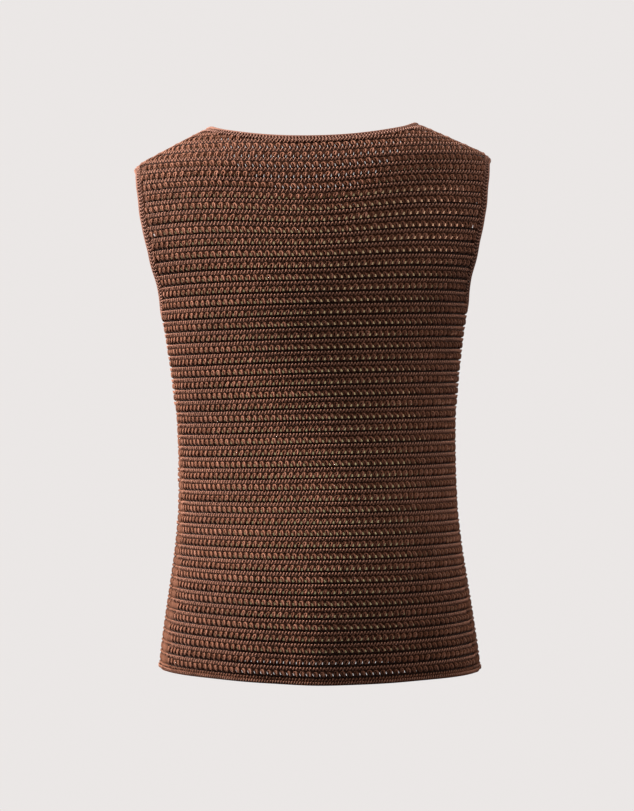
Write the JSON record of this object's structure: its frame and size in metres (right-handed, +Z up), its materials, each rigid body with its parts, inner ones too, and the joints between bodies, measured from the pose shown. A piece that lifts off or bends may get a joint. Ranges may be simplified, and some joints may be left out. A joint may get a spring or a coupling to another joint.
{
  "type": "knit tank top",
  "caption": "Sleeveless boat-neck knit top with ridged mesh panels and ribbed bands, held open in its worn shape.",
  "frame": {"origin": "midway between the two neck points, at the height of the shoulders, where the wearer's shoulders hold it", "axes": "+Z up, +Y towards the garment's front, +X towards the wearer's right"},
  "size_m": [0.3657, 0.2543, 0.5628],
  "materials": {
    "mesh_knit": "open ridged knit in cocoa brown yarn, soft and slightly fuzzy",
    "rib_knit": "close rib knit in the same yarn"
  },
  "bodies": {
    "root": {"back_panel": "mesh_knit", "front_panel": "mesh_knit", "neckband": "rib_knit", "armhole_band_left": "rib_knit", "armhole_band_right": "rib_knit"}
  },
  "joints": []
}
